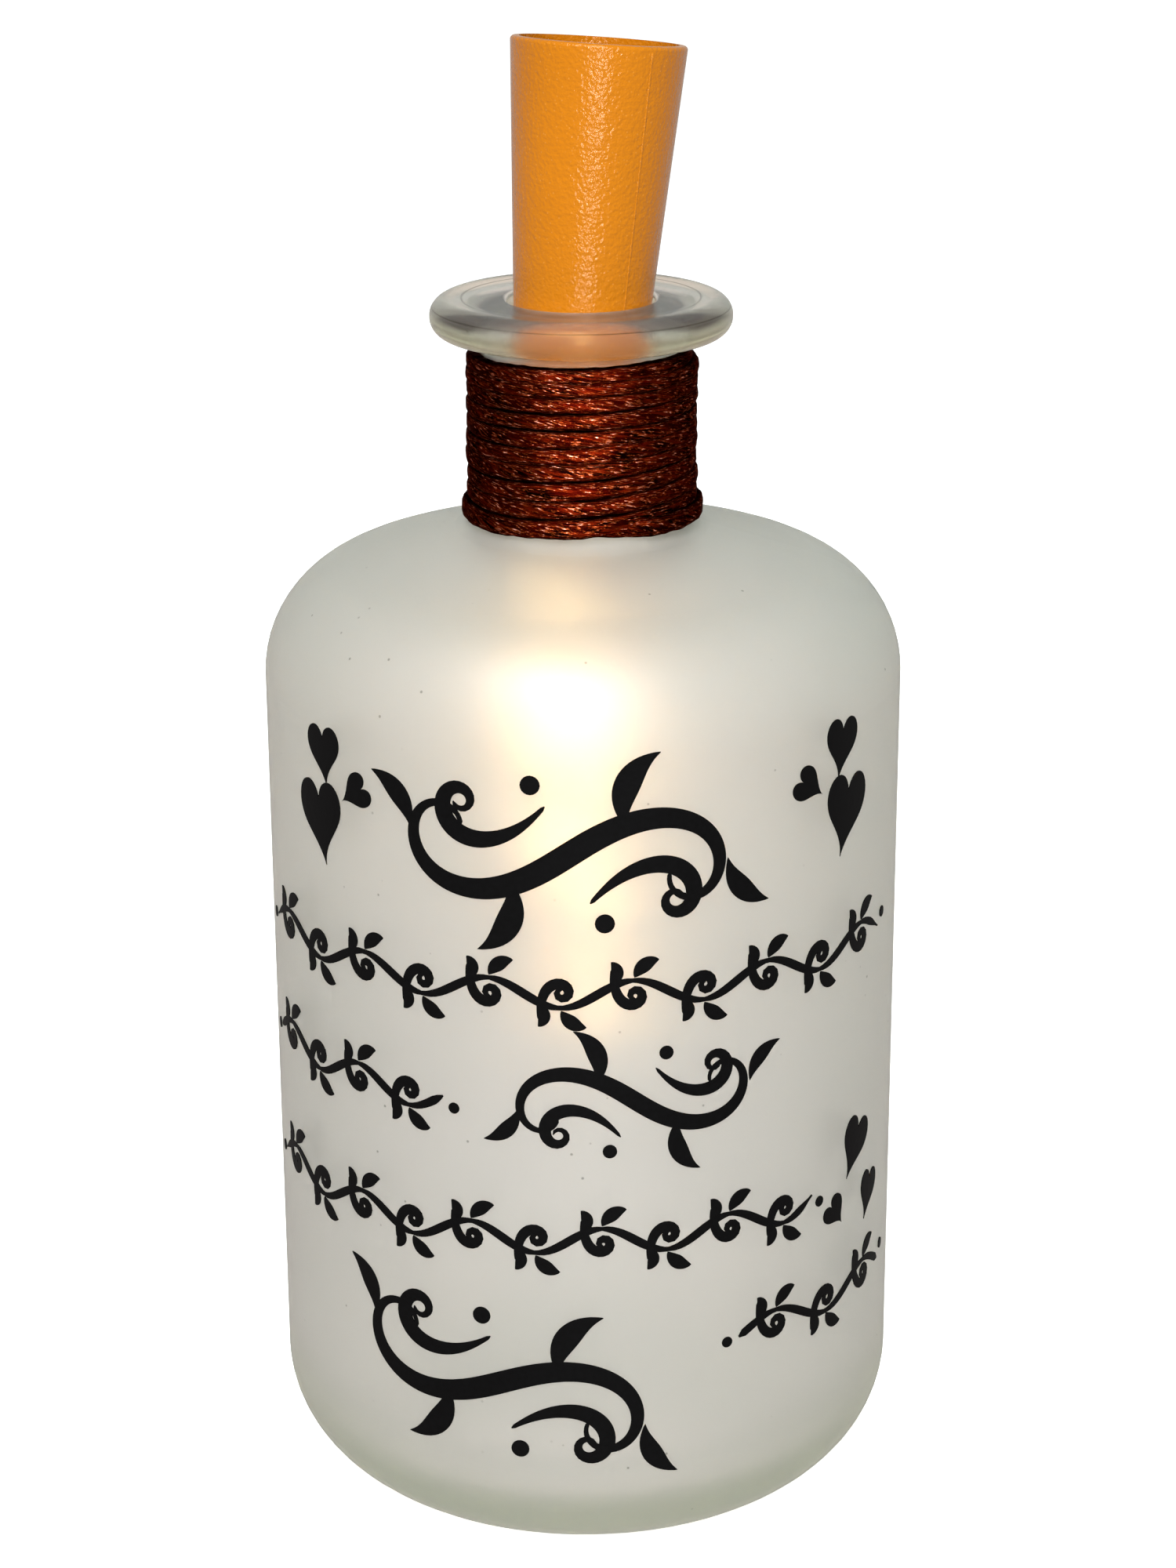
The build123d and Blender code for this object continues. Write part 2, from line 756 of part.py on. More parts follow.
# Sealed end of the wire
with BuildPart() as wire_end:
    with BuildSketch(Plane(origin=wire_line @ 1, z_dir=wire_line % 1)):
        Circle(wire_end_radius)
    extrude(amount=wire_end_length)
    chamfer(wire_end.edges().filter_by(GeomType.CIRCLE), wire_end_chamfer)
wire_end.part.label = "wire_end"
export_step(wire_end.part, "parts/wire_end.step")
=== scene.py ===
# %% [markdown]
# # Cork bottle light
#
# A frosted glass bottle with dark twine round its neck holds a cork-shaped battery light, and
# its string of small lamps glows through the glass. The solid pieces come packed from CAD and
# stay where they are. This notebook gives each of them its finish, and makes the pieces that
# solids can't show: the twine with its fibres, the lamp wire with its drops of resin, the mould
# seam of the cork and the thin black film on the glass. Lengths are written in millimetres and
# multiplied by MM, because Blender works in metres.

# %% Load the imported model
import json
import math

import bpy
import numpy as np
from mathutils import Matrix, Vector


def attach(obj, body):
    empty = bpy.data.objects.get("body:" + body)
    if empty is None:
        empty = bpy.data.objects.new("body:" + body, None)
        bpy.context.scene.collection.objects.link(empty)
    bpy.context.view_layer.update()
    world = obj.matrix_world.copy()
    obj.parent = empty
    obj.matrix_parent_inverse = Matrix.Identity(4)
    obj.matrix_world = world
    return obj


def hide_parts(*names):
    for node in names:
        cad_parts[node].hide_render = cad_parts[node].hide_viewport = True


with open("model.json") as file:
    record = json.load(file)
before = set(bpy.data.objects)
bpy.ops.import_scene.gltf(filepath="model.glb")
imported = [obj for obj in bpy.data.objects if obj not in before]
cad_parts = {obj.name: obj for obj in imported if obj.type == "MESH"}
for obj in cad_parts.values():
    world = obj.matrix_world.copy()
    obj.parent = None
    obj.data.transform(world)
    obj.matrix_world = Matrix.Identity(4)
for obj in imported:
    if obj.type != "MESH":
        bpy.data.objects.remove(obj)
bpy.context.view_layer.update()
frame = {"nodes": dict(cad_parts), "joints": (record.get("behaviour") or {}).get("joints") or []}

MM = 0.001
nodes = frame["nodes"]

# %% [markdown]
# ## Camera
#
# The camera stands where the photograph was taken: a little above the bottle and looking down.
# It could be placed by eye, but its distance, height, angles and lens all change the outline, so
# they come from one fit to it. The picture is 1500 by 2000 pixels, and a small shift puts the
# bottle's axis ten pixels right of the middle.

# %% Camera
picture_height = 2000
focal_pixels = 4433.8
axis_pixels_right = 10
film_side = 36.0
camera_distance = 430.86
camera_height = 243.21
look_down = 19.055
turn_right = 0.211
roll_left = -0.242
nearest_seen = 10.0
farthest_seen = 100_000.0

camera_data = bpy.data.cameras.new("camera")
camera_data.sensor_width = film_side
camera_data.lens = focal_pixels / picture_height * film_side
camera_data.shift_x = -axis_pixels_right / picture_height
camera_data.clip_start = nearest_seen * MM
camera_data.clip_end = farthest_seen * MM
camera = bpy.data.objects.new("camera", camera_data)
bpy.context.scene.collection.objects.link(camera)
camera.matrix_world = (
    Matrix.Translation(Vector((0, -camera_distance, camera_height)) * MM)
    @ Matrix.Rotation(math.radians(-turn_right), 4, "Z")
    @ Matrix.Rotation(math.radians(90 - look_down), 4, "X")
    @ Matrix.Rotation(math.radians(roll_left), 4, "Z")
)
bpy.context.scene.camera = camera
print("lens:", round(camera_data.lens, 2), "mm")

# %% [markdown]
# ## Skins
#
# Blender's curves with a bevel make plain tubes quickly, but their section keeps one shape all
# the way. So every new piece is a skin instead: a grid of points in rows and columns, worked out
# as one numpy array. The columns close round into a ring, and each end row closes on a point in
# its middle. One function turns such an array into a mesh, and another carries a ring of offsets
# along a path.


# %% Make a mesh from a grid of points
def as_piece(name, points, quads, finish=None, smooth=True):
    """A mesh object from points in millimetres and faces of four corners (or three, where the
    last corner repeats)."""
    mesh = bpy.data.meshes.new(name)
    corners = [face if face[2] != face[3] else face[:3] for face in quads.tolist()]
    mesh.from_pydata((points * MM).tolist(), [], corners)
    mesh.polygons.foreach_set("use_smooth", np.full(len(mesh.polygons), smooth))
    piece = bpy.data.objects.new(name, mesh)
    bpy.context.scene.collection.objects.link(piece)
    if finish is not None:
        mesh.materials.append(finish)
    return piece


def note(piece, name, values):
    """Keeps one number or three for each point of a piece, under a name that a finish reads."""
    kind, key = ("FLOAT_VECTOR", "vector") if values.shape[-1] == 3 else ("FLOAT", "value")
    attribute = piece.data.attributes.new(name, kind, "POINT")
    attribute.data.foreach_set(key, values.astype(np.float32).ravel())


def with_ends(grid):
    """The points of a grid row by row, and after them the middles of its first and last rows."""
    return np.concatenate([grid.reshape(-1, grid.shape[-1]), grid[:1].mean(1), grid[-1:].mean(1)])


def skin(grid):
    """Points and faces of a closed skin over a grid of shape (rows, columns, 3): the columns
    join round, and the first and last rows close on their middle points."""
    rows, columns = grid.shape[:2]
    row = np.arange(rows - 1)[:, None] * columns
    column = np.arange(columns)
    beside = (column + 1) % columns
    here, after = row + column, row + beside
    sides = np.stack([here, after, after + columns, here + columns], -1)
    first, last = np.full(columns, rows * columns), np.full(columns, rows * columns + 1)
    start = np.stack([beside, column, first, first], -1)
    top = (rows - 1) * columns
    end = np.stack([top + column, top + beside, last, last], -1)
    return with_ends(grid), np.concatenate([sides.reshape(-1, 4), start, end])


def unit(vectors):
    """Vectors divided by their own lengths."""
    return vectors / np.linalg.norm(vectors, axis=-1, keepdims=True)


def carry(path, side, ring):
    """A grid of a ring carried along a path. The ring's first number goes along the side
    direction made square to the path, and its second along the third direction."""
    along = unit(np.gradient(path, axis=0))
    across = unit(side - along * (side * along).sum(-1, keepdims=True))
    third = np.cross(along, across)
    return path[:, None] + ring[..., :1] * across[:, None] + ring[..., 1:] * third[:, None]


def joined(parts):
    """Points and faces of several skins as one."""
    starts = np.cumsum([0] + [len(points) for points, _ in parts[:-1]])
    points = np.concatenate([points for points, _ in parts])
    quads = np.concatenate([quads + start for (_, quads), start in zip(parts, starts)])
    return points, quads


# %% [markdown]
# ## The lamp wire
#
# The wire is a free cord, so it comes first. It leaves the strain relief at the foot of the
# cork, runs straight for 4 mm and then hangs in ten loose curls that open and close along their
# way. Its line is a NURBS curve with 28 points to a curl. A bevel on that curve would make one
# smooth tube, but on the real string two thin enamelled wires are twisted together. So two
# strands follow the curve's own points.

# %% Line of the lamp wire
joint_axes = {joint["name"]: joint["axis"] for joint in frame["joints"]}
cork_way = unit(np.array(joint_axes["tray_pull"]))
wire_exit = np.array([-1.4565, -1.6405, 134.869])
wire_end_start = np.array([-3.351, -5.076, 60.336])
exit_run = 4.0
curl_radius = 6.9
curl_turns = 10
curl_top = 121.869
curl_height = 62.0
curl_start = math.radians(230)
curl_narrow_share = 0.34
curl_beat_share = 0.37
curl_lift = 0.9
curl_lift_beat_share = 0.61
points_per_curl = 28


def curl(turn):
    """Middle of the wire after a number of curls: a circle whose radius swells and shrinks with
    a slow beat, and whose height falls evenly with a second beat on top."""
    beat = 2 * np.pi * turn
    swell = (1 - np.cos(beat * curl_beat_share)) / 2
    reach = curl_radius * (1 - curl_narrow_share * (1 - swell))
    height = curl_top - curl_height * turn / curl_turns
    height = height + curl_lift * np.sin(beat * curl_lift_beat_share)
    angle = curl_start + beat
    return np.stack([reach * np.cos(angle), reach * np.sin(angle), height], -1)


def smooth_line(name, points):
    """The points of a quadratic NURBS curve with the given control points."""
    line = bpy.data.curves.new(name, "CURVE")
    line.dimensions = "3D"
    line.resolution_u = 3
    spline = line.splines.new("NURBS")
    spline.points.add(len(points) - 1)
    spline.points.foreach_set("co", np.c_[points, np.ones(len(points))].ravel())
    spline.order_u = 3
    spline.use_endpoint_u = True
    holder = bpy.data.objects.new(name, line)
    mesh = bpy.data.meshes.new_from_object(holder)
    followed = np.empty(len(mesh.vertices) * 3)
    mesh.vertices.foreach_get("co", followed)
    bpy.data.objects.remove(holder)
    bpy.data.meshes.remove(mesh)
    return followed.reshape(-1, 3)


lead_in = [
    wire_exit,
    wire_exit - cork_way * exit_run / 2,
    wire_exit - cork_way * exit_run,
    [-2.9, -1.9, 126.2],
    [-4.6, -1.6, 123.0],
]
turns = np.arange(1, curl_turns * points_per_curl + 1) / points_per_curl
route = np.concatenate([lead_in, curl(turns), [wire_end_start]])
wire_line = smooth_line("wire_line", route)
wire_steps = np.linalg.norm(np.diff(wire_line, axis=0), axis=1)
wire_reached = np.concatenate([[0], np.cumsum(wire_steps)])
wire_length = wire_reached[-1]
print("wire length:", round(wire_length, 1), "mm on", len(wire_line), "points")

# %% Strands of the lamp wire
strand_radius = 0.19
strand_twist = 4.5
strand_sides = 6
strand_angles = np.arange(strand_sides) * 2 * np.pi / strand_sides
strand_parts = []
for start_angle in (0, np.pi):
    angle = (start_angle + 2 * np.pi * wire_reached / strand_twist)[:, None]
    ring = strand_radius * np.stack(
        [np.cos(angle) + np.cos(strand_angles), np.sin(angle) + np.sin(strand_angles)], -1
    )
    strand_parts.append(skin(carry(wire_line, wire_line * [1, 1, 0], ring)))
lamp_wire = as_piece("lamp_wire", *joined(strand_parts))
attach(lamp_wire, "cork_light")
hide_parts("led_wire")
print("wire faces:", len(lamp_wire.data.polygons))

# %% [markdown]
# ## Finishes as sums
#
# A finish is a node tree. To write its maths as sums, one small class wraps an output socket and
# gives it Python's operators: each adds a Math node. One method of the finish adds any other
# node, with its settings first and its inputs after, and short methods on top of it name the
# nodes that the finishes below use most.


# %% Signals
class Signal:
    """A node's output that can be added, multiplied and raised like a number."""

    def __init__(self, finish, socket):
        self.finish = finish
        self.socket = socket

    def sum_of(self, operation, first, second):
        return self.finish.node("ShaderNodeMath", {"operation": operation}, {0: first, 1: second})

    def __add__(self, other):
        return self.sum_of("ADD", self, other)

    def __sub__(self, other):
        return self.sum_of("SUBTRACT", self, other)

    def __rsub__(self, other):
        return self.sum_of("SUBTRACT", other, self)

    def __mul__(self, other):
        return self.sum_of("MULTIPLY", self, other)

    def __pow__(self, other):
        return self.sum_of("POWER", self, other)

    __radd__ = __add__
    __rmul__ = __mul__


# %% Finishes
class Finish:
    """A material, or a world, whose nodes are added one by one."""

    def __init__(self, name, owners=bpy.data.materials, output="ShaderNodeOutputMaterial"):
        self.owner = owners.new(name)
        self.owner.use_nodes = True
        self.tree = self.owner.node_tree
        self.tree.nodes.clear()
        self.output = self.tree.nodes.new(output)

    def node(self, kind, settings, inputs, output=0):
        """Adds a node: its settings are set first, then its inputs get values or links."""
        made = self.tree.nodes.new(kind)
        for key, value in settings.items():
            setattr(made, key, value)
        for key, value in inputs.items():
            if isinstance(value, Signal):
                self.tree.links.new(value.socket, made.inputs[key])
            elif isinstance(value, tuple) and made.inputs[key].type == "RGBA":
                made.inputs[key].default_value = (*value, 1)
            else:
                made.inputs[key].default_value = value
        return Signal(self, made.outputs[output])

    def place(self, source="Object"):
        """The point on the piece, in metres."""
        return self.node("ShaderNodeTexCoord", {}, {}, source)

    def attribute(self, name, output="Fac"):
        """What the piece itself holds at each of its points under a name."""
        return self.node("ShaderNodeAttribute", {"attribute_name": name}, {}, output)

    def part(self, place, axis):
        """One of the three numbers of a place."""
        return self.node("ShaderNodeSeparateXYZ", {}, {"Vector": place}, axis)

    def stretched(self, place, scale):
        """A place with its three numbers multiplied by a scale."""
        return self.node("ShaderNodeVectorMath", {"operation": "MULTIPLY"}, {0: place, 1: scale})

    def noise(self, place, scale, detail=2.0, roughness=0.5):
        inputs = {"Vector": place, "Scale": scale, "Detail": detail, "Roughness": roughness}
        return self.node("ShaderNodeTexNoise", {}, inputs)

    def cells(self, place, scale):
        """Distance from the middle of the nearest of many scattered cells."""
        return self.node("ShaderNodeTexVoronoi", {}, {"Vector": place, "Scale": scale}, "Distance")

    def between(self, value, low, high):
        """0 below low, 1 above high and an even climb between them."""
        inputs = {"Value": value, "From Min": low, "From Max": high}
        return self.node("ShaderNodeMapRange", {}, inputs)

    def past(self, distance, start, fade):
        """0 up to a start, and 1 once a fade beyond it, both in millimetres."""
        return self.between(distance, start * MM, (start + fade) * MM)

    def line(self, distance, middle, reach):
        """A sharp line: 1 within a reach of its middle, both in millimetres, and 0 elsewhere."""
        inputs = {0: distance, 1: middle * MM, 2: reach * MM}
        return self.node("ShaderNodeMath", {"operation": "COMPARE"}, inputs)

    def mix(self, share, first, second):
        """A colour between two colours."""
        settings = {"data_type": "RGBA"}
        return self.node("ShaderNodeMix", settings, {0: share, 6: first, 7: second}, 2)

    def bump(self, height, strength, distance):
        inputs = {"Height": height, "Strength": strength, "Distance": distance * MM}
        return self.node("ShaderNodeBump", {}, inputs)

    def principled(self, inputs):
        return self.node("ShaderNodeBsdfPrincipled", {}, inputs)

    def ends_in(self, shader, socket="Surface"):
        """Links a last shader to the output, and gives the finished material or world."""
        self.tree.links.new(shader.socket, self.output.inputs[socket])
        return self.owner

    def surface(self, inputs):
        """Ends the finish in one Principled shader."""
        return self.ends_in(self.principled(inputs))


black = (0.0, 0.0, 0.0)
white = (1.0, 1.0, 1.0)

# %% [markdown]
# ## Frosted glass
#
# Acid has etched the glass, so light passes it but is scattered at both faces. Mixing clear
# glass with a white coat would look like paint. One rough Principled shader with full
# transmission does it on the real thickness of the wall, which the CAD bottle has. A very fine
# grain in the roughness and the normal gives the dull sparkle of etched glass. The lip was dipped
# less deep in the acid, so it is clearer: a second, smoother glass takes over there. Its
# underside is tinted amber, which is painted orange light of the cork seen through the lip. A hair
# line marks the lip round its side, where its mould closed, and a dark line round its crest is
# painted shade at the crest's rounded edge. A little absorption inside the glass makes it greener
# where it is thick, as at the heel.

# %% Frosted glass
frost_top = 153.0
frost_fade = 1.5
# Painted light: below this height the lip is tinted with the cork's orange light, which fades out
# over 3 mm upwards.
painted_cork_light_height = 155.5
painted_cork_light_fade = 3.0
lip_side_radius = 16.0
lip_side_fade = 0.1
lip_seam_height = 157.9
lip_seam_reach = 0.07
lip_top_height = 158.0
lip_top_fade = 0.2
lip_crest_radius = 15.0
lip_crest_reach = 0.13
glass_ior = 1.5
glass_shade = {"Color": (0.83, 0.89, 0.75), "Density": 35.0}
etched_tints = (0.87, 0.872, 0.853), (0.89, 0.885, 0.868)
# The first tint is painted orange light of the cork seen through the lip's underside. The second is
# the lip's own clear tint.
cork_light_and_lip_tints = (0.84, 0.735, 0.53), (0.98, 0.955, 0.955)
speck_tint = (0.12, 0.12, 0.11)
# Dark colour for the lip's side seam, a real mould line, and for the painted shade line round its
# crest.
seam_and_crest_shade_tint = (0.2, 0.17, 0.14)


def frosted_glass():
    finish = Finish("frosted_glass")
    finish.ends_in(finish.node("ShaderNodeVolumeAbsorption", {}, glass_shade), "Volume")
    place = finish.place()
    across, back, height = (finish.part(place, axis) for axis in "XYZ")
    radius = (across * across + back * back) ** 0.5
    grain = finish.noise(place, 2600, 3.0, 0.6)
    cloud = finish.noise(place, 60)
    pits = 1 - finish.between(finish.cells(place, 260.0), 0.03, 0.06)
    specks = pits * finish.between(cloud, 0.48, 0.56) * 0.75
    etched = finish.principled(
        {
            "Base Color": finish.mix(
                specks, finish.mix(finish.between(cloud, 0.3, 0.7), *etched_tints), speck_tint
            ),
            "Roughness": 0.36 + grain * 0.08 + cloud * 0.03,
            "IOR": glass_ior,
            "Transmission Weight": 0.9,
            "Normal": finish.bump(grain, 0.25, 0.03),
        }
    )
    seam = finish.line(height, lip_seam_height, lip_seam_reach)
    seam = seam * finish.past(radius, lip_side_radius, lip_side_fade)
    # Painted shade: a dark line round the crest's rounded edge.
    crest = finish.line(radius, lip_crest_radius, lip_crest_reach)
    crest = crest * finish.past(height, lip_top_height, lip_top_fade)
    # Painted light: the lip's underside is tinted with the orange light of the cork behind it.
    lip_tint_with_cork_light = finish.mix(finish.past(height, painted_cork_light_height, painted_cork_light_fade), *cork_light_and_lip_tints)
    clearer = finish.principled(
        {
            "Base Color": finish.mix(specks + (seam + crest) * 0.8, lip_tint_with_cork_light, seam_and_crest_shade_tint),
            "Roughness": 0.22 + grain * 0.06,
            "IOR": glass_ior,
            "Transmission Weight": 0.96,
            "Specular Tint": (0.36, 0.21, 0.07),
            "Normal": finish.bump(grain - seam, 0.15, 0.03),
        }
    )
    lip_share = finish.past(height, frost_top, frost_fade)
    return finish.ends_in(
        finish.node("ShaderNodeMixShader", {}, {0: lip_share, 1: etched, 2: clearer})
    )


# %% [markdown]
# ## Cork plastic
#
# The stopper is moulded from an orange plastic with a fine orange-peel skin, so its highlight
# breaks up into specks. Modelling that skin would take millions of faces, so a small, sharp noise
# drives the normal instead. A cell pattern scatters lighter flakes over it, a painted highlight
# that adds to the sparkle of those specks. The plastic lets some light through, and the lamps
# under it light up its foot. Real scattering in so small a piece is slow and grainy to render: a
# faint glow of its own colour, which fades out where the cork leaves the lip, stands for it.

# %% Cork plastic
cork_tints = (0.325, 0.103, 0.0015), (0.375, 0.121, 0.0022)
# Colour of the lighter flakes, a painted highlight.
cork_sparkle_tint = (0.62, 0.30, 0.07)
foot_glow_tint = (0.56, 0.15, 0.004)
foot_glow_start = 147.0
foot_glow_fade = 14.0


def cork_plastic():
    finish = Finish("cork_plastic")
    place = finish.place()
    grain = finish.noise(place, 1900, 1.5)
    # Painted highlight: lighter flakes that add to the sparkle of the cork's highlight.
    sparkle_flakes = 1 - finish.between(finish.cells(place, 1500.0), 0.08, 0.2)
    body = finish.mix(finish.noise(place, 90, 3.0), *cork_tints)
    foot_share = 1 - finish.past(finish.part(place, "Z"), foot_glow_start, foot_glow_fade)
    return finish.surface(
        {
            "Base Color": finish.mix(sparkle_flakes * 0.2, body, cork_sparkle_tint),
            "Roughness": 0.17 + grain * 0.05,
            "Specular IOR Level": 0.3,
            "Specular Tint": (1.0, 0.8, 0.62),
            "Emission Color": finish.mix(foot_share, black, foot_glow_tint),
            "Emission Strength": 1.0,
            "Normal": finish.bump(grain, 1.0, 0.16),
        }
    )


# %% [markdown]
# ## Waxed twine
#
# Fibres run along the twine, so its colour and its bump come from noises that are stretched
# along it: slow clouds for the dark ground, fibres for the red, and short flecks for rust and
# tan. Object coordinates would cut straight across the turns. The twine's own attribute, lay,
# gives the way along it and round it in millimetres. Another marks its edges, where one turn
# meets the next, and there the colour goes to the darkest of the ground as painted shade between
# the turns. Waxed fibres are satin: they throw light back in their own colour, and mostly one
# way, so the finish is largely metallic, with dark red for its edges.

# %% Waxed twine
# Dark tints of the ground. The first is also the painted shade between the turns.
twine_darks_and_shade = (0.001, 0.0001, 0.0001), (0.009, 0.0002, 0.0001)
twine_red = (0.032, 0.0020, 0.0003)
twine_rust = (0.12, 0.021, 0.004)
twine_tan = (0.36, 0.17, 0.13)


def waxed_twine():
    finish = Finish("waxed_twine")
    lay = finish.attribute("lay", "Vector")
    fibres = finish.noise(finish.stretched(lay, (0.25, 5.0, 5.0)), 1.0, 5.0, 0.7)
    flecks = finish.noise(finish.stretched(lay, (0.8, 7.0, 7.0)), 1.2, 3.0, 0.7)
    cloud = finish.noise(finish.stretched(lay, (0.22, 0.6, 0.6)), 1.0, 3.0)
    tint = finish.mix(finish.between(cloud, 0.42, 0.58), *twine_darks_and_shade)
    for pattern, low, high, next_tint in (
        (fibres, 0.48, 0.60, twine_red),
        (flecks, 0.55, 0.64, twine_rust),
        (flecks, 0.63, 0.71, twine_tan),
    ):
        tint = finish.mix(finish.between(pattern, low, high), tint, next_tint)
    return finish.surface(
        {
            # Painted shade: each turn's edges, where it meets the next, go to the darkest ground
            # tint.
            "Base Color": finish.mix(finish.attribute("painted_groove_shade"), tint, twine_darks_and_shade[0]),
            "Metallic": 0.9,
            "Roughness": 0.45,
            "Specular IOR Level": 0.0,
            "Specular Tint": (0.30, 0.05, 0.02),
            "Normal": finish.bump(fibres + flecks, 1.0, 0.09),
        }
    )


# %% [markdown]
# ## Metals and mouldings
#
# The small pieces in the cork are steel, nickel, brass and copper, and moulded plastic, rubber
# and enamel. A single flat colour would do from far away, but none of these is that even close
# by. So two functions make them all: a metal has fine marks that run one way, darker and
# smoother in their hollows, and a moulding has a slow change of colour and a fine even grain.


# %% Metals and mouldings
def metal(name, colour, rough, brushed):
    """A metal with fine marks that run one way."""
    finish = Finish(name)
    marks = finish.noise(finish.stretched(finish.place(), brushed), 1.0, 3.0, 0.6)
    dark = tuple(0.8 * part for part in colour)
    return finish.surface(
        {
            "Base Color": finish.mix(marks, dark, colour),
            "Metallic": 1.0,
            "Roughness": rough + marks * 0.15,
            "Normal": finish.bump(marks, 0.15, 0.02),
        }
    )


def moulding(name, colour, rough):
    """A moulded plastic, rubber or enamel with a fine even grain."""
    finish = Finish(name)
    place = finish.place()
    grain = finish.noise(place, 1500)
    dark = tuple(0.85 * part for part in colour)
    return finish.surface(
        {
            "Base Color": finish.mix(finish.noise(place, 150), dark, colour),
            "Roughness": rough + grain * 0.12,
            "Normal": finish.bump(grain, 0.15, 0.03),
        }
    )


glass_finish = frosted_glass()
cork_finish = cork_plastic()
twine_finish = waxed_twine()
steel_finish = metal("cell_steel", (0.72, 0.72, 0.73), 0.22, (4000, 4000, 400))
nickel_finish = metal("nickel", (0.70, 0.69, 0.66), 0.25, (2500, 2500, 600))
brass_finish = metal("brass_strip", (0.78, 0.55, 0.22), 0.28, (600, 3000, 3000))
copper_finish = metal("copper_wire", (0.80, 0.42, 0.24), 0.3, (900, 900, 3000))
lamp_wire.data.materials.append(copper_finish)

# %% A finish for each CAD piece
node_finishes = {
    "bottle": glass_finish,
    "cork_shell": cork_finish,
    "switch_cap": cork_finish,
    "wire_grommet": moulding("black_rubber", (0.02, 0.02, 0.021), 0.6),
    "circuit_board": moulding("board_green", (0.012, 0.12, 0.045), 0.35),
    "resistor": moulding("ceramic", (0.03, 0.03, 0.035), 0.4),
    "contact_spring": nickel_finish,
    "side_contact": brass_finish,
    "inner_lead": copper_finish,
    "battery_tray": moulding("tray_plastic", (0.78, 0.76, 0.7), 0.45),
    "battery_lower": steel_finish,
    "battery_middle": steel_finish,
    "battery_upper": steel_finish,
    "positive_contact": brass_finish,
    "switch_case": nickel_finish,
    "switch_terminals": nickel_finish,
    "switch_slider": moulding("knob_black", (0.018, 0.018, 0.018), 0.4),
    "wiper_contact": brass_finish,
    "upper_lead": moulding("red_lead", (0.5, 0.018, 0.015), 0.38),
    "wire_end": moulding("clear_sleeve", (0.8, 0.77, 0.7), 0.3),
}
for name, node_finish in node_finishes.items():
    slots = nodes[name].material_slots
    if not slots:
        nodes[name].data.materials.append(node_finish)
    for slot in slots:
        slot.material = node_finish
print("finished CAD pieces:", len(node_finishes))

# %% [markdown]
# ## Lamps
#
# Each lamp is a chip on the wire in a drop of clear resin. Point lights inside the drops would
# leave the drops themselves dark. Lit, the whole drop glows, so the drop itself is the light. It
# is a long drop: a circle whose radius follows the square root of a cosine along the wire, a
# little fuller on one side. Each chip shines most to the front of its drop, so the lamps that
# face the viewer are brighter, and each has its own share of the full power.

# %% Lamps
lamp_length = 3.6
lamp_radius = 1.15
lamp_fullness = 0.12
first_lamp_share = 0.06
lamp_rows = 9
lamp_columns = 12
lamp_colour = (1.0, 0.66, 0.28)
lamp_power = 78.0
lamp_bright_shares = (0.075, 0.5, 0.85, 0.75, 1.0, 0.5, 0.15, 1.0, 0.05, 0.55)


def lamp_glow():
    finish = Finish("lamp_glow")
    return finish.surface(
        {
            "Base Color": (0.9, 0.8, 0.55),
            "Roughness": 0.2,
            "Emission Color": finish.mix(finish.attribute("bright"), black, lamp_colour),
            "Emission Strength": lamp_power,
        }
    )


def lamp_drop(share):
    """A drop round the wire at a share of its length."""
    way_along = np.linspace(-0.5, 0.5, lamp_rows + 2)[1:-1]
    reached = share * wire_length + way_along * lamp_length
    path = np.stack([np.interp(reached, wire_reached, wire_line[:, axis]) for axis in range(3)], -1)
    radius = lamp_radius * np.sqrt(np.cos(np.pi * way_along))[:, None, None]
    angles = np.arange(lamp_columns) * 2 * np.pi / lamp_columns
    fuller = (1 + lamp_fullness * np.cos(angles))[:, None]
    ring = radius * fuller * np.stack([np.cos(angles), np.sin(angles)], -1)
    return skin(carry(path, path * [1, 1, 0], ring))


lamp_count = len(lamp_bright_shares)
lamp_shares = first_lamp_share + (1 - first_lamp_share) * (np.arange(lamp_count) + 0.5) / lamp_count
lamp_parts = [lamp_drop(share) for share in lamp_shares]
lamp_drops = as_piece("lamp_drops", *joined(lamp_parts), lamp_glow())
points_per_lamp = [len(points) for points, _ in lamp_parts]
note(lamp_drops, "bright", np.repeat(lamp_bright_shares, points_per_lamp)[:, None])
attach(lamp_drops, "cork_light")
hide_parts("led_lamps")
print("lamps:", lamp_count)

# %% [markdown]
# ## Twine
#
# The twine is one length of flat, waxed linen, wound a little over ten times round the neck from
# the foot up. A stack of rings would be simple to make, but real twine climbs, and its start and
# end show. Near the foot each turn lies level and climbs past its own beginning at the front,
# where the start is tucked under the second turn. Higher up the climb is spread evenly, and the
# turns press on each other. The section is a boxy ring, a power of a circle, with three plies
# that turn as they go along and small ridges of fibre between them.

# %% Small random changes
sways = {
    "height": (0.17, 3.7, 3),
    "reach": (0.10, 2.3, 8),
    "twist": (0.08, 1.9, 21),
    "ridges": (2.8, 0.5, 5),
    "thickness": (0.07, 0.7, 13),
    "lumps": (0.05, 0.11, 34),
}
sway_waves = 5
sway_fading = 0.7
sway_gain = 1.6


def sway(turn, kind):
    """A smooth random wave along the twine, from a row of the table above: its size, its period
    in turns and the seed of its draws. It is a sum of sines with random phases, whose periods
    shrink from the given one, and is made to reach about its size either way."""
    size, period, seed = sways[kind]
    phases = np.random.default_rng(seed).uniform(0, 2 * np.pi, sway_waves)
    orders = np.arange(1, sway_waves + 1)
    waves = np.sin(2 * np.pi * turn[:, None] * orders / period + phases)
    fading = orders**sway_fading
    return (waves / fading).sum(-1) / (1 / fading).sum() * sway_gain * size


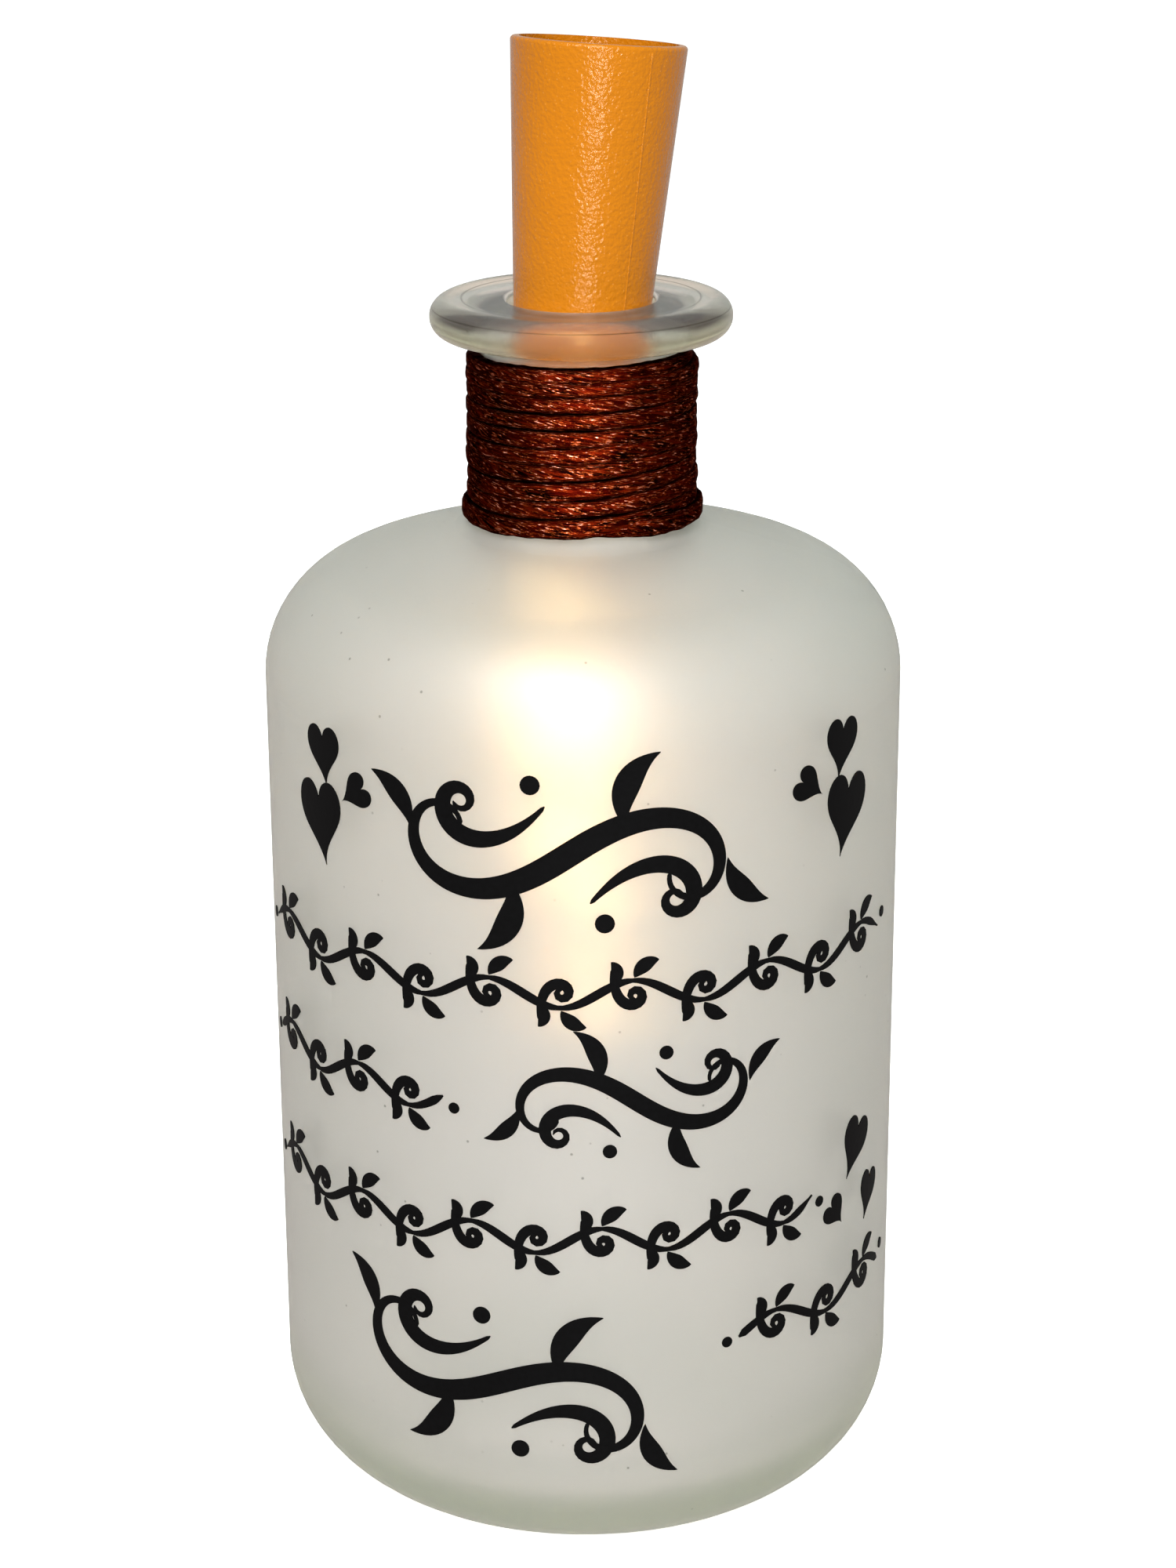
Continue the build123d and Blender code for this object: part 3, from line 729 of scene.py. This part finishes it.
def eased(values, start, end):
    """0 before the start, 1 after the end, and a soft step between them."""
    share = np.clip((values - start) / (end - start), 0, 1)
    return share * share * (3 - 2 * share)


# %% Path of the twine
neck_radius = 12.75
neck_foot = 130.775
neck_fillet = 5.0
fillet_share = 0.98
shoulder_slope = math.radians(16.7)
twine_turns = 10.35
twine_start = math.radians(-101)
twine_lowest = 132.3
twine_highest = 151.95
twine_pitch = 2.31
twine_tightening = 0.025
twine_half_depth = 1.0
twine_pressed = 0.1
rests_below = 0.5
step_before = 0.12
step_after = 0.34
climb_lag = 0.61
even_turns = (1.0, 9.0)
tuck_lift = 0.12
hump_height = 0.3
hump_turn = 1.05
hump_width = 0.09


def neck_reach(height):
    """Radius of the neck at a height: straight, with a round fillet at its foot."""
    start = neck_foot + neck_fillet * math.tan((math.pi / 2 - shoulder_slope) / 2)
    below = np.clip(start - height, 0, fillet_share * neck_fillet)
    return neck_radius + neck_fillet - np.sqrt(neck_fillet**2 - below**2)


def twine_climb(turn):
    """How many pitches the twine has climbed. At the foot it climbs in steps, a little after each
    whole turn, and higher up evenly: the first passes softly into the second."""
    wholes = range(1, math.ceil(twine_turns))
    steps = sum(eased(turn, whole - step_before, whole + step_after) for whole in wholes)
    return steps + (turn - climb_lag - steps) * eased(turn, *even_turns)


def twine_path(turn, climbed, tucked, half_depth):
    """Middle of the twine: a circle whose height follows the climb, in pitches that tighten, and
    whose reach is that of the neck a little below it and half the twine's own depth, pressed in.
    A small hump carries the second turn over the tucked start."""
    height = twine_lowest + twine_pitch * climbed - twine_tightening * climbed**2
    height = np.minimum(height + sway(turn, "height") + tuck_lift * tucked, twine_highest)
    hump = hump_height * np.exp(-(((turn - hump_turn) / hump_width) ** 2))
    reach = neck_reach(height - rests_below) + half_depth - twine_pressed
    reach = reach + sway(turn, "reach") + hump
    angle = twine_start + 2 * np.pi * turn
    return np.stack([reach * np.cos(angle), reach * np.sin(angle), height], -1)


# %% Section of the twine
twine_columns = 32
twine_boxiness = 0.6
twine_lay = 55.0
ply_count = 3
ply_dent = 0.07
ply_sharpness = 4
ridge_count = 9
ridge_height = 0.025


def boxed(wave):
    """A sine or cosine raised to a power with its sign kept, which makes a circle boxy."""
    return np.sign(wave) * np.abs(wave) ** twine_boxiness


def twine_section(turn, reached, half_depth, half_height):
    """The ring at each step of the path, the angles round it that turn with the plies, and how
    high each of its points lies. Plies dent the ring and fibres ridge it, and its size changes."""
    around = np.arange(twine_columns) * 2 * np.pi / twine_columns
    laid = around - 2 * np.pi * (reached / twine_lay + sway(turn, "twist"))[:, None]
    plies = 1 - ply_dent * (1 - np.abs(np.sin(ply_count * laid / 2))) ** ply_sharpness
    ridges = 1 + ridge_height * np.sin(ridge_count * laid + sway(turn, "ridges")[:, None])
    size = plies * ridges * (1 + sway(turn, "thickness") + sway(turn, "lumps"))[:, None]
    flat, tall = boxed(np.cos(around)), boxed(np.sin(around))
    ring = np.stack([half_depth[:, None] * flat * size, half_height[:, None] * tall * size], -1)
    return ring, laid, tall


# %% Twine
twine_step = 0.3
twine_overlap_share = 0.54
tuck_turns = 0.16
tuck_thinning = 0.45
end_turns = 0.25
end_thinning = 0.4
ends_lowering = 0.35
# Where across the section the painted shade between the turns begins.
painted_groove_shade_start = 0.78


def twine_wrap():
    """The whole twine: thinner and lower where it is tucked in and where it ends."""
    whole = 2 * np.pi * (neck_radius + twine_half_depth) * twine_turns
    turn = np.linspace(0, twine_turns, int(whole / twine_step))
    reached = turn / twine_turns * whole
    climbed = twine_climb(turn)
    tucked = 1 - eased(turn, 0.0, tuck_turns)
    ending = eased(turn, twine_turns - end_turns, twine_turns)
    half_depth = twine_half_depth * (1 - tuck_thinning * tucked - end_thinning * ending)
    half_height = twine_overlap_share * (twine_pitch - 2 * twine_tightening * climbed)
    half_height = half_height * (1 - ends_lowering * tucked - ends_lowering * ending)
    path = twine_path(turn, climbed, tucked, half_depth)
    ring, laid, tall = twine_section(turn, reached, half_depth, half_height)
    piece = as_piece("twine_wrap", *skin(carry(path, path * [1, 1, 0], ring)), twine_finish)
    along = np.broadcast_to(reached[:, None], laid.shape)
    # Painted shade between the turns: it climbs to 1 at the top and bottom edges of the section.
    painted_groove_shade = np.broadcast_to(eased(np.abs(tall), painted_groove_shade_start, 1.0), laid.shape)
    note(piece, "lay", with_ends(np.stack([along, np.cos(laid), np.sin(laid)], -1)))
    note(piece, "painted_groove_shade", with_ends(painted_groove_shade[..., None]))
    return piece


twine = twine_wrap()
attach(twine, "bottle")
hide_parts("neck_twine")
print("twine faces:", len(twine.data.polygons))

# %% [markdown]
# ## Mould seam
#
# The cork is moulded in two halves, which leave a fine ridge down each side. A line in the bump
# would vanish at the cork's outline, where the ridge shows most. So each ridge is a thin skin, an
# oval ring carried up the cork's side and half sunk in it.

# %% Mould seam
cork_foot = np.array([-1.2067, -1.3591, 138.4493])
cork_foot_radius = 7.272
cork_top_radius = 11.0
cork_length = 52.0
seam_angles = (-54.0, 126.0)
seam_width = 0.34
seam_height = 0.07
seam_margin = 0.7
seam_rows = 60
seam_columns = 8

side_way = unit(np.cross([0, 1, 0], cork_way))
back_way = np.cross(cork_way, side_way)
climb = np.linspace(seam_margin, cork_length - seam_margin, seam_rows)[:, None]
reach = cork_foot_radius + (cork_top_radius - cork_foot_radius) * climb / cork_length
bend = np.arange(seam_columns) * 2 * np.pi / seam_columns
ring = np.stack([seam_height * np.cos(bend), seam_width / 2 * np.sin(bend)], -1)[None]
seam_parts = []
for angle in np.radians(seam_angles):
    facing = np.cos(angle) * side_way + np.sin(angle) * back_way
    path = cork_foot + cork_way * climb + facing * reach
    seam_parts.append(skin(carry(path, np.broadcast_to(facing, path.shape), ring)))
cork_seam = as_piece("cork_seam", *joined(seam_parts), cork_finish)
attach(cork_seam, "cork_light")
print("seam faces:", len(cork_seam.data.polygons))

# %% [markdown]
# ## Film on the glass
#
# The front carries shapes cut from thin black film: small hearts, large sprays of scrolls, and
# running vines between them. A mask in the glass finish could colour them, but film has an edge
# and lies on top. All shapes are drawn flat, in millimetres along the glass and up, and then laid
# round the cylinder as closed skins a tenth of a millimetre thick. Hearts and dots are outlines
# that are filled, and everything else is a ribbon with a width at each of its points.

# %% Film on the cylinder
body_radius = 41.0
film_lift = 0.02
film_thickness = 0.12
film_ring_shares = (0.03, 0.35, 0.7, 1.0)


def laid_on_glass(flat, lift):
    """Flat points, along the glass and up, laid round the bottle at a height above it."""
    reach = body_radius + lift
    angle = flat[..., 0] / body_radius
    return np.stack([reach * np.sin(angle), -reach * np.cos(angle), flat[..., 1]], -1)


def film(outline):
    """A skin of film inside an outline, counted anticlockwise: rings grow from its middle to its
    rim on the back of the film, and shrink again on its face."""
    middle = outline.mean(0)
    rings = middle + (outline - middle) * np.array(film_ring_shares)[:, None, None]
    back = laid_on_glass(rings, film_lift)
    face = laid_on_glass(rings[::-1], film_lift + film_thickness)
    return skin(np.concatenate([back, face])[:, ::-1])


def ribbon(line, width):
    """A skin of film along a flat line, with a width at each of its points."""
    way = unit(np.gradient(line, axis=0))
    half = np.stack([-way[:, 1], way[:, 0]], -1) * width[:, None] / 2
    low, high = film_lift, film_lift + film_thickness
    corners = ((line + half, low), (line + half, high), (line - half, high), (line - half, low))
    return skin(np.stack([laid_on_glass(flat, lift) for flat, lift in corners], 1))


def leant(flat, degrees):
    """Flat points turned anticlockwise round their origin."""
    a = math.radians(degrees)
    return flat @ np.array([[math.cos(a), math.sin(a)], [-math.sin(a), math.cos(a)]])


# %% Hearts
heart_columns = 64
heart_tip_start = 0.1
heart_tip_pinch = 0.25


def heart(middle, width, height, lean, tail):
    """A heart from sine cubed across and four cosines up, leant by an angle, with its tip drawn
    out and bent to one side by the tail."""
    t = np.arange(heart_columns) * -2 * np.pi / heart_columns
    up = (13 * np.cos(t) - 5 * np.cos(2 * t) - 2 * np.cos(3 * t) - np.cos(4 * t)) / 29
    tip = np.clip(-heart_tip_start - up, 0, None) / (1 - heart_tip_start)
    across = width / 2 * np.sin(t) ** 3 * (1 - heart_tip_pinch * tip) + tail * tip**2
    up = up - heart_tip_pinch * tip**3
    up = (up - (up.max() + up.min()) / 2) / (up.max() - up.min()) * height
    across = across - (across.max() + across.min()) / 2
    return film(middle + leant(np.stack([across, up], -1), lean))


film_parts = [
    heart((-36.6, 107.2), 6.5, 7.6, 4, 0.9),
    heart((-30.9, 103.7), 4.6, 5.2, -58, 0.5),
    heart((-37.6, 98.2), 8.8, 10.8, 6, 1.6),
    heart((36.2, 107.9), 6.3, 7.7, -6, -0.9),
    heart((30.3, 104.4), 4.6, 5.2, 58, -0.5),
    heart((37.4, 98.9), 8.4, 10.6, -8, -1.6),
    heart((41.2, 52.2), 6.4, 8.4, -22, -1.2),
    heart((45.6, 43.8), 5.0, 6.8, -14, -0.9),
    heart((36.9, 44.6), 4.4, 4.6, 40, -0.6),
]
print("hearts:", len(film_parts))

# %% Pen strokes
points_per_mm = 2.2
fewest_points = 24
tip_run = 0.05
least_tip = 0.08
dot_columns = 20


def pen(middle, heading, length, bends, thick, thin, fullness=1.2):
    """A pen stroke through a middle point with a heading there. The bends are the turns that the
    whole length would make, at even stations along it. Summing them gives the heading, and
    summing the heading gives the line. The width swells from thin ends to a thick middle, and
    is rounded off at the very tips."""
    share = np.linspace(0, 1, max(fewest_points, int(length * points_per_mm)))
    steps = len(share) - 1
    bend = np.interp(share, np.linspace(0, 1, len(bends)), bends) * 2 * np.pi
    angle = np.cumsum(bend) / steps
    angle = angle - np.interp(0.5, share, angle) + math.radians(heading)
    line = np.cumsum(np.stack([np.cos(angle), np.sin(angle)], -1), axis=0) * length / steps
    centre = [np.interp(0.5, share, line[:, axis]) for axis in range(2)]
    width = thin + (thick - thin) * np.sin(np.pi * share) ** fullness
    from_tip = np.minimum(share, 1 - share) * length
    tips = np.clip(from_tip / (thin / 2 + tip_run), least_tip, 1) ** 0.5
    return ribbon(line - centre + middle, width * tips)


def dot(middle, size):
    """A round dot."""
    t = np.arange(dot_columns) * 2 * np.pi / dot_columns
    return film(middle + np.stack([np.cos(t), np.sin(t)], -1) * size / 2)


# %% [markdown]
# ## Large sprays
#
# A scroll is a stroke whose bend changes evenly along its length, which gives the easy curves of
# a pen. Drawn by hand, each curve would need many handles, so a stroke here is a row of a table:
# its place, heading, length, bends, and widths in the middle and at the tips. Places, lengths and
# widths are shares of the spray's size, and one table makes every spray.

# %% Large sprays
scroll = ((0, 0), 28, 2.55, (4.6, 2.3, 1.15, 0.45, -0.45, -1.15, -2.3, -4.6), 0.115, 0.02)
side_strokes = (
    ((0.50, -0.14), -38, 0.95, (-0.1, -0.5, -1.3, -4.0), 0.085, 0.018),
    ((0.30, 0.30), 62, 0.42, (-0.25, -0.25), 0.12, 0.006),
    ((0.78, -0.30), -55, 0.34, (0.2, 0.2), 0.10, 0.006),
)
side_dot_place = (0.13, -0.34)
side_dot_size = 0.09


def spray(middle, size, flip, lean):
    """A large spray: an S-scroll, and on each half of it a curl, two leaves and a dot. The second
    half is the first one turned half round, and a flip of -1 draws the mirror image."""

    def put(place, side):
        return middle + leant(np.array(place) * (side, side * flip), lean) * size

    def stroke(side, place, heading, length, bends, thick, thin):
        heading = lean + (0 if side == 1 else 180) + flip * heading
        bends = flip * np.array(bends)
        return pen(put(place, side), heading, length * size, bends, thick * size, thin * size)

    parts = [stroke(1, *scroll)]
    for side in (1, -1):
        parts += [stroke(side, *row) for row in side_strokes]
        parts.append(dot(put(side_dot_place, side), side_dot_size * size))
    return parts


film_parts += spray((-2.0, 99.5), 27.0, 1, 6)
film_parts += spray((6.5, 67.0), 20.0, -1, -8)
film_parts += spray((-11.0, 28.0), 26.0, 1, -6)
print("with sprays:", len(film_parts), "pieces of film")

# %% [markdown]
# ## Running vines
#
# Rows of running vine lie between the sprays. One bend of it could be copied along with an Array
# modifier, but the copies would be cut off where a row ends. Here each row is a sine wave with a
# whole number of bends, stretched a little to fit, so it ends neatly in a dot wherever it has to.

# %% Running vines
vine_size = 8.6
vine_fullness = 0.8
vine_overhang = 0.1
vine_wave_height = 0.2
stem_points = 14
stem_thin = 0.055
stem_swell = 0.08
stem_swell_power = 0.7
stem_tip_share = 1 / 40
stem_tip_least = 0.2
leaf_tip = 0.01
end_dot_gap = 0.28
end_dot_shift = 0.1
end_dot_size = 0.17


def vine(start, end, height):
    """A running vine: its stem is a sine wave, thickest where it is steepest, with a curl in
    every hollow and two leaves on every crest."""
    count = round((end - start) / vine_size)
    pitch = (end - start) / count
    overhang = vine_overhang * pitch
    along = np.linspace(start - overhang, end + overhang, count * stem_points)
    wave = (along - start) / pitch * np.pi
    share = np.linspace(0, 1, len(along))
    width = vine_size * (stem_thin + stem_swell * np.abs(np.cos(wave)) ** stem_swell_power)
    tips = np.clip(np.minimum(share, 1 - share) / stem_tip_share, stem_tip_least, 1)
    stem = np.stack([along, height + vine_wave_height * vine_size * np.sin(wave)], -1)
    parts = [ribbon(stem, width * tips)]
    strokes = (
        (-0.07, -0.16, -25, 1.25 * pitch, (-0.10, 0.35, 1.5, 3.2), 0.16, stem_thin * vine_size),
        (0.15, 0.42, 38, 0.46 * vine_size, (-0.12, -0.22), 0.21, leaf_tip),
        (-0.22, 0.35, 105, 0.34 * vine_size, (0.12, 0.22), 0.17, leaf_tip),
    )
    for index in range(count):
        side = -1 if index % 2 else 1
        middle = start + pitch * (index + 0.5)
        for across, up, heading, length, bends, thick, thin in strokes:
            place = (middle + across * pitch, height + side * up * vine_size)
            bends = side * np.array(bends)
            thick = thick * vine_size
            parts.append(pen(place, side * heading, length, bends, thick, thin, vine_fullness))
    last_side = 1 if count % 2 else -1
    gap = end_dot_gap * pitch
    for place, side in ((start - gap, -1), (end + gap, last_side)):
        shift = side * end_dot_shift * vine_size
        parts.append(dot((place, height + shift), end_dot_size * vine_size))
    return parts


film_parts += vine(-52, 46, 81.5)
film_parts += vine(-52, -19, 66.0)
film_parts += vine(-52, 31, 48.4)
film_parts += vine(21, 49, 33.0)

# %% Film as one piece
film_blacks = (0.0006, 0.0006, 0.0006), (0.0022, 0.0022, 0.0024)


def black_film():
    finish = Finish("black_film")
    grain = finish.noise(finish.place(), 1600)
    return finish.surface(
        {
            "Base Color": finish.mix(grain, *film_blacks),
            "Roughness": 0.55 + grain * 0.1,
            "Specular IOR Level": 0.05,
            "Normal": finish.bump(grain, 0.1, 0.02),
        }
    )


glass_film = as_piece("glass_film", *joined(film_parts), black_film(), smooth=False)
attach(glass_film, "bottle")
print("film faces:", len(glass_film.data.polygons))

# %% [markdown]
# ## Floor, world and lights
#
# The bottle stands on a plain white floor in an even, pale room, which the frosted glass needs:
# it shows what is round it, blurred. A floor that the glass could see would fill its lower half
# with white, so the floor is for the camera alone, and the room's own lower half lights the
# bottle from below. A soft panel lights the bottle from the front and above, and a tall strip in
# front gives the long highlight on the cork and the small one on the lip. The twine is far darker
# than the rest, and one more panel that shines on it alone brings out the sheen of its wax.

# %% Floor
floor_half = 8.0
floor_drop = 0.05
floor_mesh = bpy.data.meshes.new("floor")
floor_corners = np.array([(-1, -1, 0), (1, -1, 0), (1, 1, 0), (-1, 1, 0)]) * floor_half
floor_mesh.from_pydata((floor_corners - [0, 0, floor_drop * MM]).tolist(), [], [(0, 1, 2, 3)])
floor = bpy.data.objects.new("floor", floor_mesh)
bpy.context.scene.collection.objects.link(floor)
floor_paint = {
    "Base Color": (0.95, 0.95, 0.95),
    "Roughness": 0.9,
    "Emission Color": white,
    "Emission Strength": 0.5,
}
floor_mesh.materials.append(Finish("floor_paint").surface(floor_paint))
floor.visible_diffuse = False
floor.visible_glossy = False
floor.visible_transmission = False
floor.visible_shadow = False

# %% World
room_left = (0.515, 0.525, 0.52)
room_right = (0.505, 0.57, 0.555)
room_below = (0.79, 0.70, 0.685)
studio = Finish("studio", bpy.data.worlds, "ShaderNodeOutputWorld")
direction = studio.place("Generated")
rightwards, upwards = studio.part(direction, "X"), studio.part(direction, "Z")
walls = studio.mix(studio.between(rightwards, -0.8, 0.8), room_left, room_right)
room = studio.mix(studio.between(upwards, -0.5, 0.1), room_below, walls)
background = studio.node("ShaderNodeBackground", {}, {"Color": room})
bpy.context.scene.world = studio.ends_in(background)
bpy.context.scene.view_settings.view_transform = "Standard"


# %% Lights
def panel(name, place, target, size, power, only=None):
    """A rectangular soft light that faces a target, for the whole scene or one piece only.
    Lengths are in millimetres."""
    light = bpy.data.lights.new(name, "AREA")
    light.shape = "RECTANGLE"
    light.size, light.size_y = size[0] * MM, size[1] * MM
    light.energy = power
    holder = bpy.data.objects.new(name, light)
    bpy.context.scene.collection.objects.link(holder)
    holder.location = Vector(place) * MM
    holder.rotation_euler = (Vector(target) - Vector(place)).to_track_quat("-Z", "Y").to_euler()
    if only is not None:
        holder.light_linking.receiver_collection = bpy.data.collections.new(name)
        holder.light_linking.receiver_collection.objects.link(only)
    print(name, power, "W")


panel("top_panel", (-150, -700, 1000), (0, 0, 100), (600, 600), 15.0)
panel("front_strip", (30, -850, 400), (0, 0, 150), (20, 900), 9.0)
panel("twine_flash", (30, -850, 380), (0, 0, 145), (60, 500), 54.0, twine)
